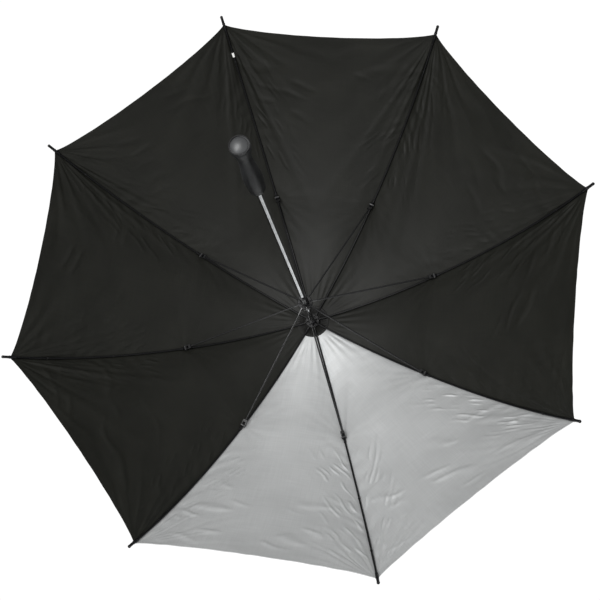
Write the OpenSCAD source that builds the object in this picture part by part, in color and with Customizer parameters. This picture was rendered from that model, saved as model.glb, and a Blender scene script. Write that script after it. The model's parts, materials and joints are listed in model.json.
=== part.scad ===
// Reflector umbrella with eight ribs: a straight shaft, a sliding runner, folding ribs and
// stretchers, and a canopy of eight gores. Millimetres, +Z along the shaft towards the crown.
// The origin is on the shaft's axis, at the middle of the stretch that a stand's holder clamps.

/* [Shaft] */
// Outer diameter of the shaft tube
shaft_d = 11; // [8:0.5:14]
// Wall of the shaft tube
shaft_wall = 1.1; // [0.8:0.1:2]
// Bare shaft from the top of the grip up to the crown's hinge plane
shaft_clear = 720; // [640:1:870]
// Height of the clamping point above the top of the grip
clamp_height = 95; // [50:5:150]

/* [Ribs] */
// Diameter of a rib rod
rib_d = 3.6; // [3:0.1:4.4]
// Arc length of the bent stretch between the crown and the connector
inner_bend = 248; // [200:1:300]
// Arc length of the bent stretch between the connector and the tip
outer_bend = 358; // [300:1:430]
// Slope of the rib where it leaves the crown, in degrees below horizontal
slope_crown = 0.5; // [0:0.5:4]
// Slope of the rib at its connector
slope_joint = 29; // [24:0.5:33]
// Slope of the rib at its tip
slope_tip = 58.2; // [50:0.1:62]
// How far the ribs turn down when the umbrella closes
fold_angle = 57; // [40:1:57]

/* [Crown and runner] */
// Wall of the runner's barrel outside the keyway for the catches
barrel_wall = 0.8; // [0.6:0.1:2]
// Diameter of the hinge wire
wire_d = 1.25; // [1:0.05:1.6]
// Thickness of the flattened rib and stretcher ends
blade_t = 2; // [1.4:0.1:2.6]
// Length of the runner's barrel below its toothed ring
barrel_len = 44; // [30:1:60]

/* [Connectors] */
// Drop of the hinge rivet below the rib's centre line
rivet_drop = 2.5; // [2:0.1:3.5]
// Diameter of the rivet
rivet_d = 2; // [1.6:0.1:2.6]
// Radius of the connector's round boss
boss_r = 5; // [4.2:0.1:6]
// Wall of the connector beside the rods
joint_wall = 0.8; // [0.6:0.1:1.6]
// Half the length of the connector along the rib
joint_half = 12; // [10:0.5:16]

/* [Stretchers] */
// Diameter of a stretcher rod
stretcher_d = 3.2; // [2.6:0.1:4]
// Thickness of each ear of the metal clevis
ear_t = 1.2; // [0.8:0.1:1.6]

/* [Tips] */
// How far a tip cap stands out past the corner of the cloth
tip_out = 19; // [14:0.5:26]
// How far the rod sits straight in the tip cap
tip_seat = 14; // [10:0.5:18]
// Radius of the cap's round end
tip_ball_r = 2.9; // [2.7:0.1:4]

/* [Canopy] */
// Thickness of the cloth solids
cloth_t = 0.8; // [0.6:0.1:1.2]
// Gap between the cloth and the highest of the connectors and tip caps under it
cloth_gap = 0.9; // [0.6:0.1:2]
// How far the hem bows in from the line between two tips
hem_bow = 17; // [5:1:30]
// How far the middle of a gore sags below the straight line between its ribs
gore_sag = 9; // [2:1:16]
// Radius of the round patch of cloth under the crown end of the canopy
patch_r = 35; // [33:1:40]
// Radius of the round patch of cloth under the ferrule
cover_r = 30; // [22:1:40]

/* [Grip] */
// Length of the grip from its end cap to the shaft
grip_len = 150; // [130:1:200]
// Largest radius of the pommel
pommel_r = 14.5; // [12:0.5:18]
// Radius of the neck above the pommel
neck_r = 10; // [8.5:0.5:13]
// Largest radius of the hand-hold
hold_r = 14; // [12:0.5:18]

/* [Ferrule] */
// Height of the ferrule above the crown
ferrule_len = 56; // [30:1:90]

/* [Clearances] */
// Radial play of every turning or sliding fit
run_gap = 0.06; // [0.03:0.01:0.1]
// Gap between neighbours that move past each other
side_gap = 0.3; // [0.2:0.05:0.5]
// Play of a glued or pressed seat
seat_gap = 0.05; // [0.02:0.01:0.08]

/* [Hidden] */
$fn = 48;
rib_count = 8;
gore_angle = 360 / rib_count;
shaft_r = shaft_d / 2;
rib_r = rib_d / 2;
wire_r = wire_d / 2;
rivet_r = rivet_d / 2;
stretcher_r = stretcher_d / 2;
crown_z = shaft_clear - clamp_height;
grip_top = -clamp_height;
grip_end = grip_top - grip_len;

// Runner and crown from the shaft outwards: the catches' keyway, the barrel, the slots of the
// toothed rings, and the wire ring on which the ribs and stretchers hinge
catch_out = 1.6;
key_r = shaft_r + catch_out + side_gap;
sleeve_r = key_r + barrel_wall;
slot_r = sleeve_r + 0.4;
eye_r = 3;
ring_r = slot_r + 0.4 + eye_r;

// Widths and heights that follow the rib's rod
boss_w = rib_d + 2 * joint_wall;
cap_wall = 0.9;
crimp_wall = 0.5;
hub_rise = 2.4;
// The cloth sags beside the boss, so the boss has a little more room under it
boss_room = 0.2;
cloth_lift = max(boss_r - rivet_drop + boss_room, boss_w / 2, rib_r + cap_wall) + cloth_gap;
neck_top = cloth_lift + hub_rise + 2 * cloth_t + 0.6;

// Rib path in the rib's own plane: x outwards from the shaft's axis, z up from the hinge plane.
// straight root, bend, straight joint, bend, straight tip
root_len = 12;
crimp_end = ring_r + root_len + 5;
function rad(a) = a * PI / 180;
inner_rho = inner_bend / rad(slope_joint - slope_crown);
outer_rho = outer_bend / rad(slope_tip - slope_joint);
function ahead(p, d, a) = [p[0] + d * cos(a), p[1] - d * sin(a)];
function inwards(p, d, a) = [p[0] - d * sin(a), p[1] - d * cos(a)];
root_start = [ring_r, 0];
root_end = ahead(root_start, root_len, slope_crown);
inner_centre = inwards(root_end, inner_rho, slope_crown);
inner_end = inwards(inner_centre, -inner_rho, slope_joint);
joint_centre = ahead(inner_end, joint_half, slope_joint);
// Solid web between the connector's two sockets, from its middle
joint_web = 3.5;
spigot_r = rib_r - 0.15;
joint_end = ahead(joint_centre, joint_half, slope_joint);
outer_centre = inwards(joint_end, outer_rho, slope_joint);
outer_end = inwards(outer_centre, -outer_rho, slope_tip);
corner = ahead(outer_end, tip_seat, slope_tip);

// Lengths along the rib at which its stretches end
s_root = root_len;
s_inner = s_root + inner_bend;
s_joint = s_inner + 2 * joint_half;
s_outer = s_joint + outer_bend;
s_corner = s_outer + tip_seat;
function slope_at(s) =
    s < s_root ? slope_crown :
    s < s_inner ? slope_crown + (s - s_root) / inner_bend * (slope_joint - slope_crown) :
    s < s_joint ? slope_joint :
    s < s_outer ? slope_joint + (s - s_joint) / outer_bend * (slope_tip - slope_joint) :
    slope_tip;
function point_at(s) =
    s < s_root ? ahead(root_start, s, slope_crown) :
    s < s_inner ? inwards(inner_centre, -inner_rho, slope_at(s)) :
    s < s_joint ? ahead(inner_end, s - s_inner, slope_joint) :
    s < s_outer ? inwards(outer_centre, -outer_rho, slope_at(s)) :
    ahead(outer_end, s - s_outer, slope_tip);

// Linkage: the rivet's arm and the stretcher are equally long, so the runner's hinge plane lies
// twice the rivet's drop below the crown's.
rivet = inwards(joint_centre, rivet_drop, slope_joint);
arm = norm(rivet - root_start);
arm_slope = atan2(-rivet[1], rivet[0] - ring_r);
stretcher_len = arm;
runner_drop = 2 * arm * sin(arm_slope);
travel = 2 * arm * sin(arm_slope + fold_angle) - runner_drop;
runner_z = crown_z - runner_drop;

// Toothed rings of the crown and the runner
slot_w = blade_t + 2 * side_gap;
tooth_r = ring_r + 3;
ring_half = eye_r + 0.6;
bore_r = shaft_r + 0.1;
crown_skirt = 14;

// Spring catches and their keyway in the runner
catch_w = 3;
catch_len = 18;
catch_angle = gore_angle / 2;
key_w = catch_w + 2 * side_gap;
runner_bottom = runner_z - ring_half - barrel_len;
runner_top = runner_z + ring_half + 5;
stop_z = runner_top + side_gap + 1.2;
lower_catch_z = runner_top - travel + side_gap;

// Clevis
ear_y = boss_w / 2 + side_gap;
ear_half = 2.2;
ear_r = 3.4;
block_start = boss_r + 3.2;
block_end = block_start + 5;
flat_len = 15;

// Puts its children in the plane of one rib, with z = 0 at the crown's hinge plane
module in_rib_plane(i) { rotate([0, 0, i * gore_angle]) translate([0, 0, crown_z]) children(); }

// Puts its children at a point of the rib's plane, with +Z along the rib towards its tip
module along_rib(p, slope) { translate([p[0], 0, p[1]]) rotate([0, 90 + slope, 0]) children(); }

// A flat plate in the rib's plane, drawn as a 2D outline of x and z
module plate(t) { rotate([90, 0, 0]) linear_extrude(t, center = true) children(); }

// A bent rod about a centre, between two slopes
module bent_rod(centre, rho, from, to, r) {
    translate([centre[0], 0, centre[1]]) rotate([90, 0, 0]) rotate([0, 0, 90 - to])
        rotate_extrude(angle = to - from) translate([rho, 0]) circle(r = r);
}

module wire_ring(z) {
    translate([0, 0, z]) rotate_extrude($fn = 96) translate([ring_r, 0]) circle(r = wire_r);
}

// Turned body of a toothed ring: a sleeve with a grooved disc at z = 0
module toothed_ring(bore, low, high, low_r, high_r) {
    groove = wire_r + run_gap;
    difference() {
        rotate_extrude($fn = 96) polygon([
            [bore, low], [low_r - 0.6, low], [low_r, low + 0.6], [low_r, -ring_half],
            [tooth_r - 0.8, -ring_half], [tooth_r, 0.8 - ring_half], [tooth_r, -groove],
            [ring_r - groove, -groove], [ring_r - groove, groove], [tooth_r, groove],
            [tooth_r, ring_half - 0.8], [tooth_r - 0.8, ring_half], [high_r, ring_half],
            [high_r, high - 0.6], [high_r - 0.6, high], [bore, high]]);
        for (i = [0 : rib_count - 1])
            rotate([0, 0, i * gore_angle])
                translate([slot_r, -slot_w / 2, -ring_half - 1])
                    cube([tooth_r, slot_w, 2 * ring_half + 2]);
    }
}

shaft_bottom = grip_end + 22;
shaft_top = crown_z + neck_top + 5.8;
module shaft() {
    color("#8e9093") difference() {
        translate([0, 0, shaft_bottom]) cylinder(h = shaft_top - shaft_bottom, r = shaft_r);
        translate([0, 0, shaft_bottom - 1])
            cylinder(h = shaft_top - shaft_bottom + 2, r = shaft_r - shaft_wall);
        catch_window(runner_bottom - side_gap, -1);
        catch_window(lower_catch_z, 1);
        translate([0, 0, stop_z]) rotate([90, 0, 0]) cylinder(h = 4 * shaft_d, r = 1, center = true);
    }
}

// Window in the shaft for a catch whose holding face is at z; side is +1 if the catch lies above
module catch_window(z, side) {
    rotate([0, 0, catch_angle])
        translate([0, -key_w / 2, z + (side > 0 ? -side_gap : -catch_len - side_gap)])
            cube([shaft_d, key_w, catch_len + 2 * side_gap]);
}

// Wedge on a leaf inside the shaft; its flat face holds the runner and its slope lets it pass
module catch(z, side) {
    tail = shaft_r - shaft_wall - 2.4;
    color("#9a9ca0") rotate([0, 0, catch_angle]) translate([0, 0, z])
        plate(catch_w) polygon([
            [tail, 0], [shaft_r + catch_out, 0], [shaft_r + catch_out, side * 3],
            [shaft_r - shaft_wall, side * catch_len], [tail, side * catch_len]]);
}

module top_catch() { catch(runner_bottom - side_gap, -1); }
module bottom_catch() { catch(lower_catch_z, 1); }

module crown() {
    color("#17171a") translate([0, 0, crown_z])
        toothed_ring(shaft_r + seat_gap, -crown_skirt, neck_top, sleeve_r, sleeve_r);
}
module crown_wire() { color("#b8babd") wire_ring(crown_z); }

// Round piece of cloth at the crown, turned from the line of its underside
module cloth_disc(line) {
    translate([0, 0, crown_z]) rotate_extrude($fn = 96) polygon(concat(line,
        [for (k = [len(line) - 1 : -1 : 0]) [line[k][0], line[k][1] + cloth_t]]));
}
// The inner patch lies over the crown's teeth and the crimps of the ribs, and ends under the cloth
module inner_patch() {
    over_teeth = ring_half + side_gap;
    edge = max(rib_r - 0.2, cloth_lift - 2);
    color("#202020") cloth_disc([
        [sleeve_r + side_gap, over_teeth], [tooth_r, over_teeth],
        [crimp_end, rib_r + crimp_wall + 0.15], [patch_r, edge]]);
}
module outer_patch() {
    top = neck_top - cloth_t - 0.1;
    color("#202020") cloth_disc([
        [sleeve_r + side_gap, top], [sleeve_r + 3, top], [cover_r, neck_top - 2.2]]);
}

module ferrule() {
    base_r = sleeve_r + 3.4;
    neck = shaft_r + 1.4;
    bottom = neck_top + 0.1;
    color("#202124") translate([0, 0, crown_z]) difference() {
        rotate_extrude($fn = 96) polygon([
            [0, bottom], [base_r - 0.8, bottom], [base_r, bottom + 0.8], [base_r, bottom + 2.4],
            [base_r - 0.8, bottom + 3.2], [neck + 1.6, bottom + 4.4], [neck, bottom + 7],
            [neck - 1.2, ferrule_len - 7], [0, ferrule_len - 7]]);
        translate([0, 0, bottom - 1]) cylinder(h = 7, r = shaft_r + seat_gap);
    }
}
module ferrule_cap() {
    r = shaft_r + 0.8;
    color("#2a2a2c") translate([0, 0, crown_z + ferrule_len - 7 + 0.02]) rotate_extrude($fn = 96)
        polygon([[0, 0], [r - 0.5, 0], [r, 0.5], [r, 5], [r - 0.6, 6.2], [r - 2, 7], [0, 7]]);
}

// Outline of the grip: radius at a height above its lower end, smooth between named stations
grip_stations = [[0, pommel_r - 1.6], [10, pommel_r], [40, neck_r], [0.74 * grip_len, hold_r],
    [grip_len - 12, hold_r - 1.4], [grip_len, shaft_r + 3]];
function ease(t) = (1 - cos(180 * t)) / 2;
function grip_r(z, k = 0) =
    z <= grip_stations[k + 1][0] || k == len(grip_stations) - 2 ?
        let (a = grip_stations[k], b = grip_stations[k + 1], t = (z - a[0]) / (b[0] - a[0]))
            a[1] + (b[1] - a[1]) * (k == 0 || k == 4 ? (k == 0 ? sin(90 * t) : 1 - cos(90 * t))
                : ease(t)) :
        grip_r(z, k + 1);
cap_rise = 5;
cap_seat = cap_rise + 0.6;
module grip() {
    step = 3;
    wall = [for (z = [cap_seat : step : grip_len]) [grip_r(z), z]];
    color("#1b1b1b") translate([0, 0, grip_end]) difference() {
        rotate_extrude($fn = 96) polygon(concat([[0, cap_seat]], wall,
            [[grip_r(grip_len), grip_len], [0, grip_len]]));
        translate([0, 0, 20]) cylinder(h = grip_len, r = shaft_r + seat_gap);
    }
}
module grip_ring() {
    r = grip_r(cap_seat);
    color("#8b8d90") translate([0, 0, grip_end + cap_seat - 1.6]) rotate_extrude($fn = 96)
        polygon([[r - 1.2, 0.1], [r - 0.5, 0.1], [r, 0.6], [r, 1.5], [r - 1.2, 1.5]]);
}
module grip_end_cap() {
    rim = grip_r(cap_seat) - 2.6;
    dome_r = (rim * rim + cap_rise * cap_rise) / (2 * cap_rise);
    color("#77797c") translate([0, 0, grip_end]) rotate_extrude($fn = 96) polygon(concat(
        [[0, cap_seat - 0.05], [rim, cap_seat - 0.05]],
        [for (k = [0 : 8]) let (a = asin(rim / dome_r) * (1 - k / 8))
            [dome_r * sin(a), cap_seat - 0.6 + dome_r * (cos(asin(rim / dome_r)) - cos(a))]]));
}

module runner_stop() {
    color("#9a9ca0") translate([0, 0, stop_z]) rotate([90, 0, 0])
        cylinder(h = 2 * shaft_r + 3, r = 1 - seat_gap, center = true);
}

module runner() {
    color("#161618") translate([0, 0, runner_z]) difference() {
        toothed_ring(bore_r, -ring_half - barrel_len, ring_half + 5, sleeve_r, sleeve_r);
        rotate([0, 0, catch_angle]) translate([0, -key_w / 2, -ring_half - barrel_len - 1])
            cube([key_r, key_w, barrel_len + 2 * ring_half + 8]);
    }
}
module runner_wire() { color("#b8babd") wire_ring(runner_z); }

// One rib: the inner rod with its flattened eye, and the outer rod. Each rod's straight ends are
// turned down a little to seat in the connector and in the tip cap.
module rib(i) {
    eye_end = root_len - 0.5;
    color("#1a1a1c") in_rib_plane(i) {
        difference() {
            union() {
                translate([root_start[0], 0, root_start[1]]) rotate([0, slope_crown, 0])
                    plate(blade_t) union() {
                        circle(r = eye_r);
                        translate([0, -rib_r]) square([eye_end, rib_d]);
                    }
                along_rib(ahead(root_start, root_len - 3, slope_crown), slope_crown)
                    cylinder(h = crimp_end - ring_r - root_len + 3, r = rib_r + crimp_wall);
                bent_rod(inner_centre, inner_rho, slope_crown, slope_joint, rib_r);
                spigot(ahead(inner_end, -1, slope_joint), slope_joint, joint_half - joint_web + 1);
            }
            translate([root_start[0], 0, 0]) rotate([90, 0, 0])
                cylinder(h = 3 * blade_t, r = wire_r + run_gap, center = true);
        }
        spigot(ahead(joint_centre, joint_web, slope_joint), slope_joint,
            joint_half - joint_web + 1);
        bent_rod(outer_centre, outer_rho, slope_joint, slope_tip, rib_r);
        spigot(ahead(outer_end, -1, slope_tip), slope_tip, tip_seat + 1);
    }
}
module spigot(p, slope, len) { along_rib(p, slope) cylinder(h = len, r = spigot_r); }

// Moulded connector: a round boss for the rivet and a socket for each rod
module connector(i) {
    neck = boss_w / 2;
    color("#121214") in_rib_plane(i) difference() {
        union() {
            translate([rivet[0], 0, rivet[1]]) rotate([90, 0, 0])
                cylinder(h = boss_w, r = boss_r, center = true);
            along_rib(joint_centre, slope_joint) rotate_extrude() polygon([
                [0, -joint_half], [neck - 0.4, -joint_half], [neck, 0.5 - joint_half],
                [neck, joint_half - 0.5], [neck - 0.4, joint_half], [0, joint_half]]);
        }
        for (side = [-1, 1])
            along_rib(joint_centre, slope_joint) translate([0, 0, side * (joint_half + joint_web) / 2])
                cylinder(h = joint_half - joint_web + 0.2, r = spigot_r + seat_gap,
                    center = true);
        translate([rivet[0], 0, rivet[1]]) rotate([90, 0, 0])
            cylinder(h = 3 * boss_w, r = rivet_r + run_gap, center = true);
    }
}

// Cap on the rib's outer end, turned, with a collar at the corner of the cloth
module tip(i) {
    color("#161618") in_rib_plane(i) along_rib(corner, slope_tip) difference() {
        union() {
            rotate_extrude() polygon([
                [0, 1 - tip_seat], [rib_r + 0.5, 1 - tip_seat], [rib_r + cap_wall, 2 - tip_seat],
                [rib_r + cap_wall, 0], [rib_r + 1.3, 0.5], [rib_r + 1.3, 2.5],
                [rib_r + cap_wall, 3.2], [rib_r + cap_wall - 0.1, tip_out - tip_ball_r],
                [0, tip_out - tip_ball_r]]);
            translate([0, 0, tip_out - tip_ball_r]) sphere(r = tip_ball_r);
        }
        translate([0, 0, -tip_seat]) cylinder(h = tip_seat + 0.1, r = spigot_r + seat_gap);
    }
}

// Stretcher: clevis and rivet at x = 0, rod along +X, and an open hook round the runner's wire.
// The hook opens away from the ground side, so that it can lead the runner while it moves.
module stretcher(i) {
    far = stretcher_len;
    hook_r = 2.6;
    seat = wire_r + run_gap;
    color("#3c3d40") in_rib_plane(i) translate([rivet[0], 0, rivet[1]])
        rotate([0, 180 - arm_slope, 0]) {
            for (side = [-1, 1])
                translate([0, side * (ear_y + ear_t / 2), 0]) plate(ear_t) union() {
                    circle(r = ear_r);
                    translate([0, -ear_half]) square([block_end, 2 * ear_half]);
                }
            translate([block_start, -ear_y - ear_t / 2, -ear_half])
                cube([block_end - block_start, 2 * ear_y + ear_t, 2 * ear_half]);
            rotate([90, 0, 0]) cylinder(h = 2 * (ear_y + ear_t) + 1.2, r = rivet_r, center = true);
            for (side = [-1, 1])
                translate([0, side * (ear_y + ear_t + 0.35), 0]) rotate([90, 0, 0])
                    cylinder(h = 0.7, r = rivet_r + 0.8, center = true);
            translate([block_end - 1, 0, 0]) rotate([0, 90, 0])
                cylinder(h = far - flat_len - block_end + 3, r = stretcher_r);
            difference() {
                plate(blade_t) union() {
                    translate([far, 0]) circle(r = hook_r);
                    polygon([[far, 0.8], [far - 2, 0.8], [far - 4.5, -0.3], [far - 8, -1.5],
                        [far - flat_len - 1, -1.5], [far - flat_len - 1, 1.5],
                        [far - 4, hook_r], [far, hook_r]]);
                }
                translate([far, 0, 0]) rotate([90, 0, 0])
                    cylinder(h = 3 * blade_t, r = seat, center = true);
                translate([far - 3.4, -blade_t, -hook_r - 1])
                    cube([3.4 + seat, 2 * blade_t, hook_r + 1.01]);
            }
        }
}

// Cloth: underside height above the rib, raised a little where it rides over the crown
function lift_at(s) = cloth_lift + hub_rise * pow(max(0, 1 - s / 60), 2);
cloth_start = -(ring_r - sleeve_r - 1.2);
seam_gap = 0.5;
function cloth_edge(s, extra) =
    let (p = point_at(s), a = slope_at(s), l = lift_at(s) + extra)
        [p[0] + l * sin(a), p[1] + l * cos(a)];
// A point of the gore between the rib planes at 0 and at gore_angle; u runs across, s along
function gore_point(s, along, u, extra) =
    let (e = cloth_edge(s, extra), half = gore_angle / 2, a = slope_at(s),
        width = 2 * e[0] * sin(half) - seam_gap,
        sag = gore_sag * sin(180 * min(1, along)) * 4 * u * (1 - u),
        out = e[0] * cos(half) - sag * sin(a),
        across = (u - 0.5) * width)
        [out * cos(half) - across * sin(half), out * sin(half) + across * cos(half),
            e[1] - sag * cos(a)];
gore_rows = 24;
gore_cols = 6;
function hem_at(u) = s_corner - hem_bow * sqrt(4 * u * (1 - u));
function gore_layer(extra) = [for (j = [0 : gore_rows]) for (k = [0 : gore_cols])
    let (u = k / gore_cols, along = j / gore_rows,
        s = cloth_start + (hem_at(u) - cloth_start) * along)
        gore_point(s, along, u, extra)];
module gore(i) {
    n = gore_cols + 1;
    top = n * (gore_rows + 1);
    function at(j, k) = j * n + k;
    colour = i == 3 || i == 4 ? "#c9cbce" : "#2b2b29";
    faces = concat(
        [for (j = [0 : gore_rows - 1]) for (k = [0 : gore_cols - 1]) each [
            [at(j, k), at(j + 1, k), at(j + 1, k + 1)],
            [at(j, k), at(j + 1, k + 1), at(j, k + 1)],
            [top + at(j, k), top + at(j + 1, k + 1), top + at(j + 1, k)],
            [top + at(j, k), top + at(j, k + 1), top + at(j + 1, k + 1)]]],
        [for (j = [0 : gore_rows - 1]) each [
            [at(j, 0), top + at(j, 0), top + at(j + 1, 0)],
            [at(j, 0), top + at(j + 1, 0), at(j + 1, 0)],
            [at(j, n - 1), at(j + 1, n - 1), top + at(j + 1, n - 1)],
            [at(j, n - 1), top + at(j + 1, n - 1), top + at(j, n - 1)]]],
        [for (k = [0 : gore_cols - 1]) each [
            [at(0, k), at(0, k + 1), top + at(0, k + 1)],
            [at(0, k), top + at(0, k + 1), top + at(0, k)],
            [at(gore_rows, k), top + at(gore_rows, k + 1), at(gore_rows, k + 1)],
            [at(gore_rows, k), top + at(gore_rows, k), top + at(gore_rows, k + 1)]]]);
    color(colour) in_rib_plane(i)
        polyhedron(concat(gore_layer(0), gore_layer(cloth_t)), faces, convexity = 4);
}

shaft();
crown();
crown_wire();
inner_patch();
outer_patch();
ferrule();
ferrule_cap();
grip();
grip_ring();
grip_end_cap();
runner_stop();
top_catch();
bottom_catch();
runner();
runner_wire();
for (i = [0 : rib_count - 1]) {
    rib(i);
    connector(i);
    tip(i);
    stretcher(i);
    gore(i);
}
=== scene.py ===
import json
import math

import bmesh
import bpy
import numpy as np
from mathutils import Matrix, Vector


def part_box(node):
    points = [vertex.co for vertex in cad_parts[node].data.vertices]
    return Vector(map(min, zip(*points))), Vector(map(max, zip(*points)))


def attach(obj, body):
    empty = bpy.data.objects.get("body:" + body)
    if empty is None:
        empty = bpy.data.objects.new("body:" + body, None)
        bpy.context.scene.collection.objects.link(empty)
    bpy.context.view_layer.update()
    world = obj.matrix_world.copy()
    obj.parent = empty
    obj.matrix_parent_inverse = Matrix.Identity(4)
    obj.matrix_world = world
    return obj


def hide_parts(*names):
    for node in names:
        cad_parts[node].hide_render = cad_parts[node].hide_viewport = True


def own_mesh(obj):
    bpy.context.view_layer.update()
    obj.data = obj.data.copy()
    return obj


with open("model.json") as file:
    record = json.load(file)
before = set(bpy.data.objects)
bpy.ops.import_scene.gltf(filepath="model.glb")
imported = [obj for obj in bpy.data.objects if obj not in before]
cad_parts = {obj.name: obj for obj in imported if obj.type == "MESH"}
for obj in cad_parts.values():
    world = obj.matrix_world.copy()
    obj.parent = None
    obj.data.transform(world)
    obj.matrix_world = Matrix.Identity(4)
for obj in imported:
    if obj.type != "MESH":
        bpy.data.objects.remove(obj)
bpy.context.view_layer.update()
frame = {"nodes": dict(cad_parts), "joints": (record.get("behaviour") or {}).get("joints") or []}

# ---------------------------------------------------------------- sizes, in metres and degrees
joints = {j["name"]: j for j in frame["joints"]}
RIBS = 8
GORE = 2 * math.pi / RIBS
SILVER = (3, 4)
CROWN_Z = joints["rib_hinge_0"]["pos_m"][2]
RING_R = joints["rib_hinge_0"]["pos_m"][0]
ROOT_LEN, INNER_BEND, OUTER_BEND = 0.012, 0.248, 0.358
JOINT_HALF, TIP_SEAT = 0.012, 0.014
SLOPE_CROWN, SLOPE_JOINT, SLOPE_TIP = (math.radians(a) for a in (0.5, 29, 58.2))
ROD_R = 0.0018
# the cloth's middle lies this far over the rib's centre line
CLOTH_LIFT, CLOTH_T = 0.0033, 0.0005
HEM_BOW, GORE_SAG = 0.0185, 0.009
# length along the rib where the cloth starts, inside the crown's hinge ring
CLOTH_START = -0.0026
# widths of the hem and of the seam on the rib, and how gently each is folded over
HEM_W, SEAM_W, FOLD_EDGE = 0.009, 0.004, 0.001
# degrees from the rib at which narrow folds leave the tip
PINCH_ANGLES = (4.5, 9.5, 15.5)
# the patches' bore and cloth, and the radius out to which they lie smooth on the crown
PATCH_HOLE_R, PATCH_T, CLEAR_R = 0.0088, 0.0004, 0.0155
# lengths along the rib at which thread ties the cloth down, and where the one pale tie on rib 0
# sits, whose pale thread is a painted highlight for a glint near the tip
TIES_AT, GLINT_TIE_AT = (0.14, 0.43, 0.575), 0.590

# ---------------------------------------------------------------- the rib's path and its cloth


def ahead(p, d, a):
    return (p[0] + d * math.cos(a), p[1] - d * math.sin(a))


def inwards(p, d, a):
    return (p[0] - d * math.sin(a), p[1] - d * math.cos(a))


INNER_RHO = INNER_BEND / (SLOPE_JOINT - SLOPE_CROWN)
OUTER_RHO = OUTER_BEND / (SLOPE_TIP - SLOPE_JOINT)
root_start = (RING_R, 0.0)
root_end = ahead(root_start, ROOT_LEN, SLOPE_CROWN)
inner_centre = inwards(root_end, INNER_RHO, SLOPE_CROWN)
inner_end = inwards(inner_centre, -INNER_RHO, SLOPE_JOINT)
joint_end = ahead(inner_end, 2 * JOINT_HALF, SLOPE_JOINT)
outer_centre = inwards(joint_end, OUTER_RHO, SLOPE_JOINT)
outer_end = inwards(outer_centre, -OUTER_RHO, SLOPE_TIP)
S_ROOT = ROOT_LEN
S_INNER = S_ROOT + INNER_BEND
S_JOINT = S_INNER + 2 * JOINT_HALF
S_OUTER = S_JOINT + OUTER_BEND
S_CORNER = S_OUTER + TIP_SEAT


def slope_at(s):
    """Slope of the rib below horizontal at a length along it; s is an array."""
    inner = SLOPE_CROWN + (s - S_ROOT) / INNER_BEND * (SLOPE_JOINT - SLOPE_CROWN)
    outer = SLOPE_JOINT + (s - S_JOINT) / OUTER_BEND * (SLOPE_TIP - SLOPE_JOINT)
    return np.select(
        [s < S_ROOT, s < S_INNER, s < S_JOINT, s < S_OUTER],
        [SLOPE_CROWN + 0 * s, inner, SLOPE_JOINT + 0 * s, outer], SLOPE_TIP + 0 * s)


def point_at(s):
    """(distance from the shaft's axis, height over the crown's hinge plane) along the rib."""
    a = slope_at(s)
    sin, cos = np.sin(a), np.cos(a)
    straight = [
        (root_start, s, SLOPE_CROWN), (inner_end, s - S_INNER, SLOPE_JOINT),
        (outer_end, s - S_OUTER, SLOPE_TIP)]
    r = [p[0] + d * math.cos(k) for p, d, k in straight]
    z = [p[1] - d * math.sin(k) for p, d, k in straight]
    where = [s < S_ROOT, s < S_INNER, s < S_JOINT, s < S_OUTER]
    r = np.select(where, [
        r[0], inner_centre[0] + INNER_RHO * sin, r[1], outer_centre[0] + OUTER_RHO * sin], r[2])
    z = np.select(where, [
        z[0], inner_centre[1] + INNER_RHO * cos, z[1], outer_centre[1] + OUTER_RHO * cos], z[2])
    return r, z


def noise(x, y, seed):
    """Smooth, repeatable variation between -1 and 1 from a few crossed sine waves."""
    rng = np.random.default_rng(seed)
    total = 0 * x
    for k in range(6):
        turn, phase, stretch = rng.uniform(0, 2 * math.pi, 3)
        freq = 0.55 + 0.25 * k
        total = total + np.sin(2 * math.pi * freq * (x * math.cos(turn) + y * math.sin(turn))
                               + phase) * math.cos(stretch)
    return total / 3


def smooth(x):
    x = np.clip(x, 0, 1)
    return x * x * (3 - 2 * x)


def hem_at(u):
    """Length along the rib at which the hem lies: it curves in fast beside the tips."""
    return S_CORNER - HEM_BOW * (4 * u * (1 - u)) ** 0.6


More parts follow.
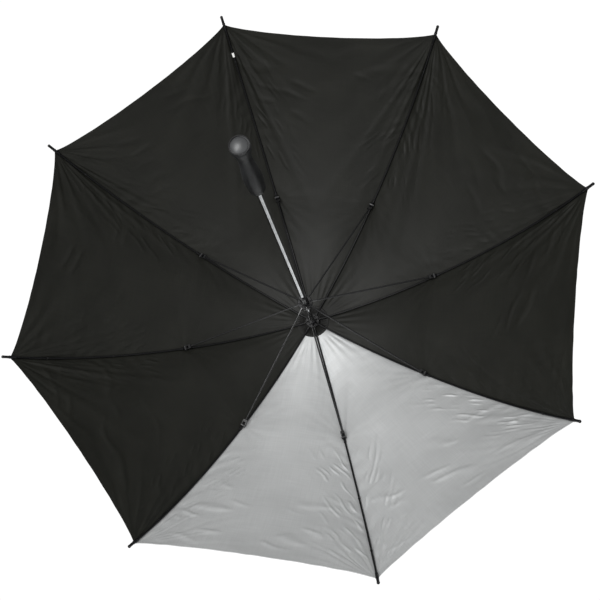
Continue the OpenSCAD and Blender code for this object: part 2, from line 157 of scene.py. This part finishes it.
def ripples(gore, u, s, width):
    """Height of the cloth's creases, in metres: positive away from the frame."""
    down = hem_at(u) - s
    height = 0 * u
    coated = gore in SILVER
    fans, reach, fan_depth = (31, 0.042, 0.020) if coated else (17, 0.065, 0.024)
    for side in (0, 1):
        w = (u if side == 0 else 1 - u) * width
        seed = gore * 2 + side + 1
        rng = np.random.default_rng(300 + seed)
        between = coated and (gore + side) % RIBS in SILVER
        # folds that fan out from the tip's corner
        dist = np.hypot(w, S_CORNER - s) + 1e-6
        turn = np.arctan2(w, S_CORNER - s)
        bend = 0.45 * noise(turn / 0.5, dist / 0.16, 40 + seed)
        fan = np.sin(fans * (turn + 0.22 * bend) + 1.7 * seed)
        gate = smooth(w / 0.008) * smooth(dist / 0.02) * smooth(down / 0.02)
        height = height + fan_depth * dist * np.exp(-dist / reach) * fan * gate
        # narrow pinched folds that leave the tip close to the rib
        for angle in PINCH_ANGLES:
            middle = math.radians(angle + rng.uniform(-1.2, 1.2))
            spread = math.radians(1.5 + 0.06 * angle)
            length = rng.uniform(0.05, 0.10) * (0.6 if coated else 1)
            pinch = np.exp(-((turn - middle) / spread) ** 2) * dist * np.exp(-dist / length)
            depth = rng.uniform(0.022, 0.034) * (1 if coated else 2.2)
            height = height - depth * pinch * smooth(w / 0.005)
        # short folds that splay from the rib towards the crown, in loose groups
        lean = math.radians(25)
        q = w * math.cos(lean) + s * math.sin(lean)
        warp = 0.45 * noise(w / 0.10, s / 0.10, 130 + seed)
        group = smooth((noise(w / 0.050, s / 0.060, 150 + seed) + 0.05) / 0.5)
        crest = (0.5 + 0.5 * np.sin(2 * math.pi * (q / 0.0155 + warp))) ** 2.6
        zone = smooth((w - 0.004) / 0.012) * smooth((0.105 - w) / 0.06)
        zone = zone * smooth((s - 0.29) / 0.08) * smooth((0.625 - s) / 0.05)
        crease = 0.0013 if between else 0.0004 if coated else 0.0007
        height = height - crease * crest * group * zone
        # puckers along the seam on the rib
        along = s / 0.043 + 0.9 * noise(s / 0.2, w / 0.2, 70 + seed)
        pucker = np.sin(2 * math.pi * (along + 0.35 * w / 0.03) + seed)
        near = (w / 0.012) * np.exp(1 - w / 0.012)
        fade = 0.35 + 0.65 * smooth((s - 0.2) / 0.3)
        height = height + 0.00035 * pucker * near * fade
        # slack folds that run off the connector
        span = s - (S_INNER + S_JOINT) / 2
        off = np.hypot(w, span) + 1e-6
        fan = np.sin(16 * np.arctan2(span, w) + 2.1 * seed)
        height = height + 0.006 * off * np.exp(-off / 0.04) * fan * smooth(w / 0.012)
    # a few long soft folds in the lower half of the panel
    long_q = (u - 0.5) * width * 0.35 + s * 0.94 + 0.014 * noise(u * 2.2, s / 0.1, 170 + gore)
    patchy = smooth((noise(u * 2.6, s / 0.11, 190 + gore) - 0.05) / 0.6)
    low = smooth((s - 0.40) / 0.1) * smooth(down / 0.05)
    low = low * smooth(u / 0.12) * smooth((1 - u) / 0.12)
    long_fold = (0.5 + 0.5 * np.sin(2 * math.pi * long_q / 0.034)) ** 2.5
    height = height - (0.0013 if coated else 0.0010) * long_fold * patchy * low
    # small waves of the hem, and a faint row of short ripples above it
    across = (u - 0.5) * width
    wave = np.sin(2 * math.pi * (across / 0.052 + 0.5 * noise(across / 0.15, s / 0.15, 90 + gore)))
    at_hem = np.exp(-down / 0.022) * smooth(u / 0.1) * smooth((1 - u) / 0.1)
    height = height + 0.0003 * wave * at_hem
    row = np.exp(-((down - 0.075 - 0.03 * np.cos(2 * math.pi * u)) / 0.016) ** 2)
    beads = np.sin(2 * math.pi * (across / 0.021 + 0.3 * noise(across / 0.1, s / 0.1, 210 + gore)))
    broken = smooth(noise(across / 0.12, s / 0.3, 230 + gore) / 0.4)
    height = height + 0.00032 * row * beads * broken
    # broad unevenness of the stretched panel, and fine pleats near the crown
    broad = noise(across / 0.22, s / 0.3, 110 + gore)
    inside = smooth(u / 0.25) * smooth((1 - u) / 0.25)
    inside = inside * smooth((s - 0.05) / 0.1) * smooth(down / 0.1)
    height = height + 0.0016 * broad * inside
    pleat = np.sin(2 * math.pi * 5 * u + gore) * np.exp(-((s - 0.05) / 0.07) ** 2)
    pleat = pleat * smooth((s - 0.03) / 0.03)
    height = height + 0.00035 * pleat * smooth(u / 0.15) * smooth((1 - u) / 0.15)
    return height


def gore_surface(gore, u, t):
    """Points of the gore between ribs gore and gore + 1: u runs across and t from crown to hem."""
    s = CLOTH_START + (hem_at(u) - CLOTH_START) * t
    r, z = point_at(s)
    a = slope_at(s)
    # beside the crown the cloth rises to clear the ribs' roots
    lift = CLOTH_LIFT + 0.0024 * np.maximum(0, 1 - s / 0.06) ** 2
    er, ez = r + lift * np.sin(a), z + lift * np.cos(a)
    width = 2 * er * math.sin(GORE / 2)
    sag = GORE_SAG * np.sin(math.pi * np.minimum(1, t)) * 4 * u * (1 - u)
    sag = sag - ripples(gore, u, s, width)
    out = er * math.cos(GORE / 2) - sag * np.sin(a)
    across = (u - 0.5) * width
    mid = (gore + 0.5) * GORE
    x = out * math.cos(mid) - across * math.sin(mid)
    y = out * math.sin(mid) + across * math.cos(mid)
    return np.stack([x, y, CROWN_Z + ez - sag * np.cos(a)], -1), across, s


def grid_normals(p):
    """Unit normals of a grid of points, facing away from the frame."""
    n = np.cross(np.gradient(p, axis=1), np.gradient(p, axis=0))
    n /= np.linalg.norm(n, axis=-1, keepdims=True) + 1e-12
    return n * np.sign(n[..., 2:3].sum() + 1e-9)


# ---------------------------------------------------------------- materials


def material(name, base, rough, metallic=0.0, **sockets):
    """A node material and the shader that it ends in."""
    m = bpy.data.materials.new(name)
    m.use_nodes = True
    tree = m.node_tree
    shader = tree.nodes["Principled BSDF"]
    shader.inputs["Base Color"].default_value = (*base, 1)
    shader.inputs["Roughness"].default_value = rough
    shader.inputs["Metallic"].default_value = metallic
    for key, value in sockets.items():
        shader.inputs[key.replace("_", " ")].default_value = value
    m.diffuse_color = (*base, 1)
    return m, tree, shader


def add(tree, kind, links=(), **settings):
    """A node with its settings, and links given as (input, output socket)."""
    node = tree.nodes.new(kind)
    for key, value in settings.items():
        if key in node.inputs:
            node.inputs[key].default_value = value
        elif key.replace("_", " ") in node.inputs:
            node.inputs[key.replace("_", " ")].default_value = value
        else:
            setattr(node, key, value)
    for key, out in links:
        tree.links.new(out, node.inputs[key])
    return node


def ramp(tree, fac, low, high, pos=(0.3, 0.7)):
    """Fac mapped from one colour to another."""
    node = add(tree, "ShaderNodeValToRGB", [("Fac", fac)])
    node.color_ramp.elements[0].position, node.color_ramp.elements[1].position = pos
    node.color_ramp.elements[0].color = (*low, 1)
    node.color_ramp.elements[1].color = (*high, 1)
    return node.outputs["Color"]


def bump(tree, shader, height, strength, distance, under=None):
    """Height as relief of the shader, laid over the relief under it if there is one."""
    node = add(tree, "ShaderNodeBump", [("Height", height)], Strength=strength, Distance=distance)
    if under is not None:
        tree.links.new(under, node.inputs["Normal"])
    tree.links.new(node.outputs["Normal"], shader.inputs["Normal"])
    return node.outputs["Normal"]


def cloth(name, base, dark, rough, gloss, weave=0.0011, streak=0.12, metallic=0.0):
    """Woven cloth: thread-by-thread height, slubs along the warp and a soft uneven dye."""
    m, tree, shader = material(name, base, rough, metallic, Specular_IOR_Level=gloss)
    uv = add(tree, "ShaderNodeUVMap", uv_map="cloth")
    warp = add(tree, "ShaderNodeMapping", [("Vector", uv.outputs["UV"])])
    warp.inputs["Scale"].default_value = (420, 14, 1)
    slub = add(tree, "ShaderNodeTexNoise", [("Vector", warp.outputs["Vector"])],
               Scale=1.0, Detail=3.0)
    weft = add(tree, "ShaderNodeMapping", [("Vector", uv.outputs["UV"])])
    weft.inputs["Scale"].default_value = (14, 420, 1)
    cross_slub = add(tree, "ShaderNodeTexNoise", [("Vector", weft.outputs["Vector"])],
                     Scale=1.0, Detail=2.0)
    broad = add(tree, "ShaderNodeTexNoise", [("Vector", uv.outputs["UV"])], Scale=9.0, Detail=4.0)
    mix = add(tree, "ShaderNodeMath", [(0, slub.outputs["Fac"]), (1, cross_slub.outputs["Fac"])],
              operation="ADD")
    half = add(tree, "ShaderNodeMath", [(0, mix.outputs[0])], operation="MULTIPLY")
    half.inputs[1].default_value = 0.34
    tone = add(tree, "ShaderNodeMath", [(0, half.outputs[0]), (1, broad.outputs["Fac"])],
               operation="MULTIPLY_ADD")
    tone.inputs[2].default_value = 0.17
    colour = ramp(tree, tone.outputs[0], dark, base, (0.28, 0.42))
    tree.links.new(colour, shader.inputs["Base Color"])
    threads = []
    for axis in (0, 1):
        turned = add(tree, "ShaderNodeMapping", [("Vector", uv.outputs["UV"])])
        wave = add(tree, "ShaderNodeTexWave", [("Vector", turned.outputs["Vector"])],
                   Scale=1.0, Distortion=0.6, Detail=1.0)
        wave.bands_direction = "XY"[axis]
        turned.inputs["Scale"].default_value = (1 / weave / 3.2,) * 3
        threads.append(wave.outputs["Fac"])
    weave_height = add(tree, "ShaderNodeMath", [(0, threads[0]), (1, threads[1])],
                       operation="MULTIPLY")
    woven = bump(tree, shader, weave_height.outputs[0], 0.25, 0.0002)
    bump(tree, shader, mix.outputs[0], streak, 0.0006, woven)
    return m


def plastic(name, base, rough, grain=900, depth=0.12, gloss=0.5):
    """Moulded plastic or rubber: fine grain, uneven gloss and paler worn spots."""
    m, tree, shader = material(name, base, rough, Specular_IOR_Level=gloss)
    place = add(tree, "ShaderNodeTexCoord")
    fine = add(tree, "ShaderNodeTexNoise", [("Vector", place.outputs["Object"])],
               Scale=grain, Detail=3.0)
    broad = add(tree, "ShaderNodeTexNoise", [("Vector", place.outputs["Object"])],
                Scale=45.0, Detail=4.0)
    pale = tuple(min(1.0, c * 1.6 + 0.004) for c in base)
    colour = ramp(tree, broad.outputs["Fac"], base, pale, (0.45, 0.8))
    tree.links.new(colour, shader.inputs["Base Color"])
    span = add(tree, "ShaderNodeMapRange", [("Value", broad.outputs["Fac"])])
    span.inputs["To Min"].default_value = max(0.03, rough - 0.08)
    span.inputs["To Max"].default_value = min(1.0, rough + 0.12)
    tree.links.new(span.outputs["Result"], shader.inputs["Roughness"])
    bump(tree, shader, fine.outputs["Fac"], depth, 0.0003)
    return m


def metal(name, base, rough, metallic=1.0, coat=0.0, gloss=0.5, spread=0.1):
    """Metal or a glossy rod with drawing marks along Z and a little tarnish."""
    m, tree, shader = material(name, base, rough, metallic, Coat_Weight=coat, Coat_Roughness=0.08,
                               Specular_IOR_Level=gloss)
    place = add(tree, "ShaderNodeTexCoord")
    stretch = add(tree, "ShaderNodeMapping", [("Vector", place.outputs["Object"])])
    stretch.inputs["Scale"].default_value = (300, 300, 12)
    marks = add(tree, "ShaderNodeTexNoise", [("Vector", stretch.outputs["Vector"])],
                Scale=1.0, Detail=4.0)
    stain = add(tree, "ShaderNodeTexNoise", [("Vector", place.outputs["Object"])],
                Scale=60.0, Detail=3.0)
    dull = tuple(c * 0.72 for c in base)
    colour = ramp(tree, stain.outputs["Fac"], dull, base, (0.3, 0.6))
    tree.links.new(colour, shader.inputs["Base Color"])
    span = add(tree, "ShaderNodeMapRange", [("Value", marks.outputs["Fac"])])
    span.inputs["To Min"].default_value = max(0.03, rough - 0.4 * spread)
    span.inputs["To Max"].default_value = min(1.0, rough + spread)
    tree.links.new(span.outputs["Result"], shader.inputs["Roughness"])
    bump(tree, shader, marks.outputs["Fac"], 0.05, 0.0002)
    return m


black_cloth = cloth("black_cloth", (0.0112, 0.0114, 0.0090), (0.0078, 0.0080, 0.0063), 0.5, 0.2)
silver_cloth = cloth("silver_cloth", (0.62, 0.63, 0.63), (0.55, 0.56, 0.56), 0.55, 0.5, streak=0.07,
                     metallic=0.66)
patch_cloth = cloth("patch_cloth", (0.008, 0.008, 0.0072), (0.005, 0.005, 0.0045), 0.5, 0.2)
thread = cloth("thread", (0.02, 0.02, 0.02), (0.012, 0.012, 0.012), 0.7, 0.2)
# pale thread of one tie: its pale colour is a painted highlight standing in for a glint
pale_thread = cloth("pale_thread", (0.9, 0.9, 0.88), (0.8, 0.8, 0.78), 0.6, 0.5)
plating = metal("shaft_plating", (0.66, 0.67, 0.68), 0.06, spread=0.05)
moulded = plastic("moulded_black", (0.004, 0.004, 0.0045), 0.26, gloss=0.22)
fibre = metal("rib_fibreglass", (0.004, 0.004, 0.0045), 0.3, 0.0, gloss=0.2)
lacquer = metal("stretcher_lacquer", (0.006, 0.006, 0.0065), 0.26, 0.0, coat=0.12, gloss=0.35)
bright = metal("bright_steel", (0.75, 0.76, 0.78), 0.18)
spring = metal("spring_steel", (0.5, 0.5, 0.52), 0.3)
rubber = plastic("grip_rubber", (0.005, 0.0055, 0.006), 0.42, grain=1500, depth=0.3, gloss=0.35)
trim = metal("grip_trim", (0.07, 0.07, 0.072), 0.08, spread=0.04)
cap_grey = plastic("end_cap_grey", (0.026, 0.027, 0.028), 0.42, grain=1200, depth=0.15)

CAD_LOOKS = {
    "shaft": plating, "crown": moulded, "crown_wire": bright, "ferrule": moulded,
    "ferrule_cap": moulded, "grip": rubber, "grip_ring": trim, "grip_end_cap": cap_grey,
    "runner_stop": spring, "top_catch": spring, "bottom_catch": spring, "runner": moulded,
    "runner_wire": bright}
for i in range(RIBS):
    CAD_LOOKS.update({f"rib_{i}": fibre, f"connector_{i}": moulded, f"tip_{i}": moulded,
                      f"stretcher_{i}": lacquer})
for name, look in CAD_LOOKS.items():
    node = frame["nodes"][name]
    node.data.materials.clear()
    node.data.materials.append(look)

# ---------------------------------------------------------------- meshes


def piece(name, points, faces, look, uv=None, normals=None, rim=None):
    """A smooth mesh object, with cloth coordinates, its own normals and a sharp rim if given."""
    mesh = bpy.data.meshes.new(name)
    mesh.from_pydata([tuple(p) for p in points], [], faces)
    mesh.materials.append(look)
    if uv is not None:
        layer = mesh.uv_layers.new(name="cloth")
        corner = np.empty(len(mesh.loops), int)
        mesh.loops.foreach_get("vertex_index", corner)
        layer.data.foreach_set("uv", np.asarray(uv, float)[corner].ravel())
    mesh.shade_smooth()
    mesh.validate()
    if rim is not None:
        for edge in mesh.edges:
            edge.use_edge_sharp = edge.vertices[0] in rim and edge.vertices[1] in rim
    if normals is not None:
        mesh.normals_split_custom_set([tuple(n) for n in normals])
    obj = bpy.data.objects.new(name, mesh)
    bpy.context.scene.collection.objects.link(obj)
    return obj


def shell(name, mid, normal, thick, look, uv):
    """A thin closed sheet from a grid of points: two faces and the rim between them."""
    rows, cols = mid.shape[:2]
    half = thick[..., None] / 2
    layers = [mid - normal * half, mid + normal * half]
    points = np.concatenate([layer.reshape(-1, 3) for layer in layers])
    count = rows * cols

    def at(j, k, layer):
        return layer * count + j * cols + k

    faces, loops = [], []
    flat = normal.reshape(-1, 3)
    for layer, sign in ((0, -1), (1, 1)):
        for j in range(rows - 1):
            for k in range(cols - 1):
                quad = [at(j, k, layer), at(j + 1, k, layer),
                        at(j + 1, k + 1, layer), at(j, k + 1, layer)]
                if layer == 0:
                    quad.reverse()
                faces.append(quad)
                loops.extend(sign * flat[v % count] for v in quad)
    edge = [(j, 0) for j in range(rows)] + [(rows - 1, k) for k in range(1, cols)]
    edge += [(j, cols - 1) for j in range(rows - 2, -1, -1)]
    edge += [(0, k) for k in range(cols - 2, 0, -1)]
    rim = {at(j, k, layer) for j, k in edge for layer in (0, 1)}
    for a, b in zip(edge, edge[1:] + edge[:1]):
        quad = [at(*a, 0), at(*a, 1), at(*b, 1), at(*b, 0)]
        corners = points[quad]
        n = np.cross(corners[2] - corners[0], corners[3] - corners[1])
        n = n / (np.linalg.norm(n) + 1e-12)
        faces.append(quad)
        loops.extend([n] * 4)
    return piece(name, points, faces, look, np.concatenate([uv.reshape(-1, 2)] * 2),
                 normals=loops, rim=rim)


def clean_normals(obj):
    """Turns every face outwards."""
    work = bmesh.new()
    work.from_mesh(obj.data)
    bmesh.ops.recalc_face_normals(work, faces=work.faces)
    work.to_mesh(obj.data)
    work.free()
    return obj


# ---------------------------------------------------------------- canopy


def stations(*spans):
    """Positions from spans given as (end, spacing), starting at 0."""
    out, start = [0.0], 0.0
    for end, gap in spans:
        count = max(1, round((end - start) / gap))
        out += [start + (end - start) * k / count for k in range(1, count + 1)]
        start = end
    return np.array(out)


def cloth_thickness(s, u, width):
    """The cloth is folded over along the hem, and doubled in the seam on the rib."""
    down = hem_at(u) - s
    beside = np.minimum(u, 1 - u) * width
    fold = smooth((HEM_W - down) / FOLD_EDGE)
    seam = smooth((SEAM_W - beside) / FOLD_EDGE)
    return CLOTH_T * (1 + 1.2 * np.maximum(fold, seam))


# the grid is finest along the ribs and where the hem is folded over
HEM_T = 1 - HEM_W / (S_CORNER - CLOTH_START)
DOWN = stations((0.42, 0.0105), (HEM_T - 0.0016, 0.0048), (HEM_T, 0.0016), (1, 0.0045))
HALF_ACROSS = stations((0.0096, 0.0024), (0.11, 0.005), (0.24, 0.0085), (0.5, 0.0186))
ACROSS = np.concatenate([HALF_ACROSS, 1 - HALF_ACROSS[-2::-1]])
MIDDLE = len(HALF_ACROSS) - 1

for gore in range(RIBS):
    look, slot = (silver_cloth, "silver_cloth") if gore in SILVER else (black_cloth, "black_cloth")
    uu, tt = np.meshgrid(ACROSS, DOWN)
    mid, across, s = gore_surface(gore, uu, tt)
    normal = grid_normals(mid)
    uv = np.stack([across, s], -1)
    thick = cloth_thickness(s, uu, across[:, -1:] - across[:, :1])
    halves = (("a", slice(0, MIDDLE + 1), gore), ("b", slice(MIDDLE, None), (gore + 1) % RIBS))
    for half, cols, rib in halves:
        obj = shell(f"gore_{gore}_{half}", mid[:, cols], normal[:, cols], thick[:, cols],
                    look, uv[:, cols])
        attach(obj, f"rib_{rib}")
        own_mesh(obj)
        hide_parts(f"canopy_{gore}")


def patch(name, node, radius, height, pleats, depth):
    """Round patch of cloth, gathered between the ribs in pleats towards the shaft."""
    rings, spokes = 26, 240
    inner = PATCH_HOLE_R
    turn = np.linspace(0, 2 * math.pi, spokes + 1)[:-1]
    r = np.linspace(inner, radius, rings)
    tt, rr = np.meshgrid(turn, r)
    share = (rr - inner) / (radius - inner)
    wave = 0.5 + 0.5 * np.sin(pleats * tt + 0.8 * np.sin(3 * tt))
    wave = wave * (0.75 + 0.25 * np.sin(5 * tt + 1))
    clear = smooth(np.abs(np.sin(RIBS / 2 * tt)) / 0.35) * smooth((rr - CLEAR_R) / 0.006)
    z = height(rr) + depth * wave * clear * smooth((1 - share) / 0.3)
    mid = np.stack([rr * np.cos(tt), rr * np.sin(tt), CROWN_Z + z], -1)
    normal = grid_normals(np.concatenate([mid[:, -1:], mid, mid[:, :1]], 1))[:, 1:-1]
    half = PATCH_T / 2
    points = np.concatenate([(mid - normal * half).reshape(-1, 3),
                             (mid + normal * half).reshape(-1, 3)])
    count = rings * spokes

    def at(j, k, layer):
        return layer * count + j * spokes + k % spokes

    faces = []
    for j in range(rings - 1):
        for k in range(spokes):
            quad = [at(j, k, 0), at(j + 1, k, 0), at(j + 1, k + 1, 0), at(j, k + 1, 0)]
            faces.append(quad[::-1])
            faces.append([v + count for v in quad])
    for k in range(spokes):
        faces.append([at(0, k, 0), at(0, k + 1, 0), at(0, k + 1, 1), at(0, k, 1)])
        faces.append([at(rings - 1, k, 0), at(rings - 1, k, 1),
                      at(rings - 1, k + 1, 1), at(rings - 1, k + 1, 0)])
    uv = np.tile(np.stack([rr * np.cos(tt), rr * np.sin(tt)], -1).reshape(-1, 2), (2, 1))
    obj = clean_normals(piece(name, points, faces, patch_cloth, uv))
    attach(obj, "root")
    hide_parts(node)


inner_low, inner_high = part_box("inner_patch")
outer_low, outer_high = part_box("outer_patch")
inner_r, outer_r = inner_high[0], outer_high[0]


def through(*line):
    """Height at a radius on a line through (radius, height) stations."""
    return lambda r: np.interp(r, [p[0] for p in line], [p[1] for p in line])


patch("under_patch", "inner_patch", inner_r,
      through((0.015, 0.0044), (0.029, 0.0028), (inner_r, inner_low[2] - CROWN_Z + 0.0003)),
      pleats=46, depth=-0.0016)
patch("cover_patch", "outer_patch", outer_r,
      through((0.011, outer_high[2] - CROWN_Z - 0.0004),
              (outer_r, outer_low[2] - CROWN_Z + 0.0006)),
      pleats=18, depth=0.0003)

# ---------------------------------------------------------------- ties from the cloth to the ribs


def tie(rib, s0, look, turns=3):
    """Turns of thread round the rib's rod and up to the seam above it."""
    thread_r, play, below_cloth = 0.00028, 0.00003, 0.0002
    sides, steps = 6, 26
    reach = ROD_R + thread_r + play
    rise = CLOTH_LIFT - reach - below_cloth
    turn = rib * GORE
    r, z = point_at(np.array([s0]))
    a = float(slope_at(np.array([s0]))[0])
    centre = Vector((r[0] * math.cos(turn), r[0] * math.sin(turn), CROWN_Z + z[0]))
    ahead_dir = Vector((math.cos(a) * math.cos(turn), math.cos(a) * math.sin(turn), -math.sin(a)))
    up = Vector((math.sin(a) * math.cos(turn), math.sin(a) * math.sin(turn), math.cos(a)))
    side = up.cross(ahead_dir)
    points, faces = [], []
    for n in range(turns):
        base = len(points)
        shift = (n - (turns - 1) / 2) * 2.1 * thread_r
        for k in range(steps):
            b = 2 * math.pi * k / steps
            stretch = reach + rise * max(0, math.cos(b)) ** 3
            for q in range(sides):
                c = 2 * math.pi * q / sides
                rad = stretch + thread_r * math.cos(c)
                points.append(centre + up * rad * math.cos(b)
                              + side * reach / stretch * rad * math.sin(b)
                              + ahead_dir * (shift + thread_r * math.sin(c)))
        for k in range(steps):
            for q in range(sides):
                here, there = base + k * sides, base + (k + 1) % steps * sides
                after = (q + 1) % sides
                faces.append([here + q, here + after, there + after, there + q])
    obj = clean_normals(piece(f"tie_{rib}_{round(s0 * 1000)}", points, faces, look,
                              np.array([[p[0], p[2]] for p in points])))
    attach(obj, f"rib_{rib}")


for rib in range(RIBS):
    for s0 in TIES_AT:
        tie(rib, s0, thread)
# one tie on rib 0 near the tip in pale thread: a real tie whose pale colour is a painted highlight
tie(0, GLINT_TIE_AT, pale_thread, 16)

# ---------------------------------------------------------------- camera, light and floor
# The camera stands below the open umbrella, beside its grip, as in the photo.
FOCAL_MM, SENSOR_MM = 55.17, 36
FLOOR_HALF, FLOOR_Z = 30, -1.75
camera_data = bpy.data.cameras.new("camera")
camera = bpy.data.objects.new("camera", camera_data)
bpy.context.scene.collection.objects.link(camera)
camera_data.lens, camera_data.sensor_width = FOCAL_MM, SENSOR_MM
camera_data.shift_x, camera_data.shift_y = 0.027, 0.016
forward = Vector((0.2956, -0.0592, 0.9535)).normalized()
up_hint = Vector((0.9221, 0.2786, -0.2686))
right = forward.cross(up_hint).normalized()
up = right.cross(forward)
camera.matrix_world = Matrix.Translation((-0.5489, 0.0649, -1.2842)) @ Matrix(
    (right, up, -forward)).transposed().to_4x4()
camera_data.clip_end = 100
bpy.context.scene.camera = camera
bpy.context.scene.view_settings.view_transform = "Standard"

world = bpy.data.worlds.new("studio")
bpy.context.scene.world = world
world.use_nodes = True
tree = world.node_tree
soft = tree.nodes["Background"]
soft.inputs["Color"].default_value = (1, 1, 1, 1)
soft.inputs["Strength"].default_value = 0.34
seen = add(tree, "ShaderNodeBackground", Color=(1, 1, 1, 1), Strength=1.05)
path = add(tree, "ShaderNodeLightPath")
both = add(tree, "ShaderNodeMixShader", [
    ("Fac", path.outputs["Is Camera Ray"]), (1, soft.outputs[0]), (2, seen.outputs[0])])
tree.links.new(both.outputs[0], tree.nodes["World Output"].inputs["Surface"])


def softbox(name, place, aim, size, watts):
    """A square light at a place, turned to the point that it aims at."""
    light = bpy.data.lights.new(name, "AREA")
    light.shape, light.size, light.energy = "SQUARE", size, watts
    obj = bpy.data.objects.new(name, light)
    bpy.context.scene.collection.objects.link(obj)
    obj.matrix_world = Matrix.Translation(place) @ (
        Vector(aim) - Vector(place)).to_track_quat("-Z", "Y").to_matrix().to_4x4()


softbox("key", (0.10, -0.42, -1.40), (0, 0, CROWN_Z - 0.15), 1.0, 26)
softbox("side", (-0.38, -0.88, -1.30), (0, 0, -0.1), 0.5, 9)
sun = bpy.data.lights.new("overhead", "SUN")
sun.energy, sun.angle = 1.4, math.radians(50)
overhead = bpy.data.objects.new("overhead", sun)
bpy.context.scene.collection.objects.link(overhead)
overhead.rotation_euler = (math.radians(14), math.radians(-10), 0)

corners = [(-FLOOR_HALF, -FLOOR_HALF, 0), (FLOOR_HALF, -FLOOR_HALF, 0),
           (FLOOR_HALF, FLOOR_HALF, 0), (-FLOOR_HALF, FLOOR_HALF, 0)]
floor = piece("floor", corners, [[0, 1, 2, 3]],
              material("floor_pale", (0.86, 0.86, 0.86), 0.9)[0])
floor.location.z = FLOOR_Z
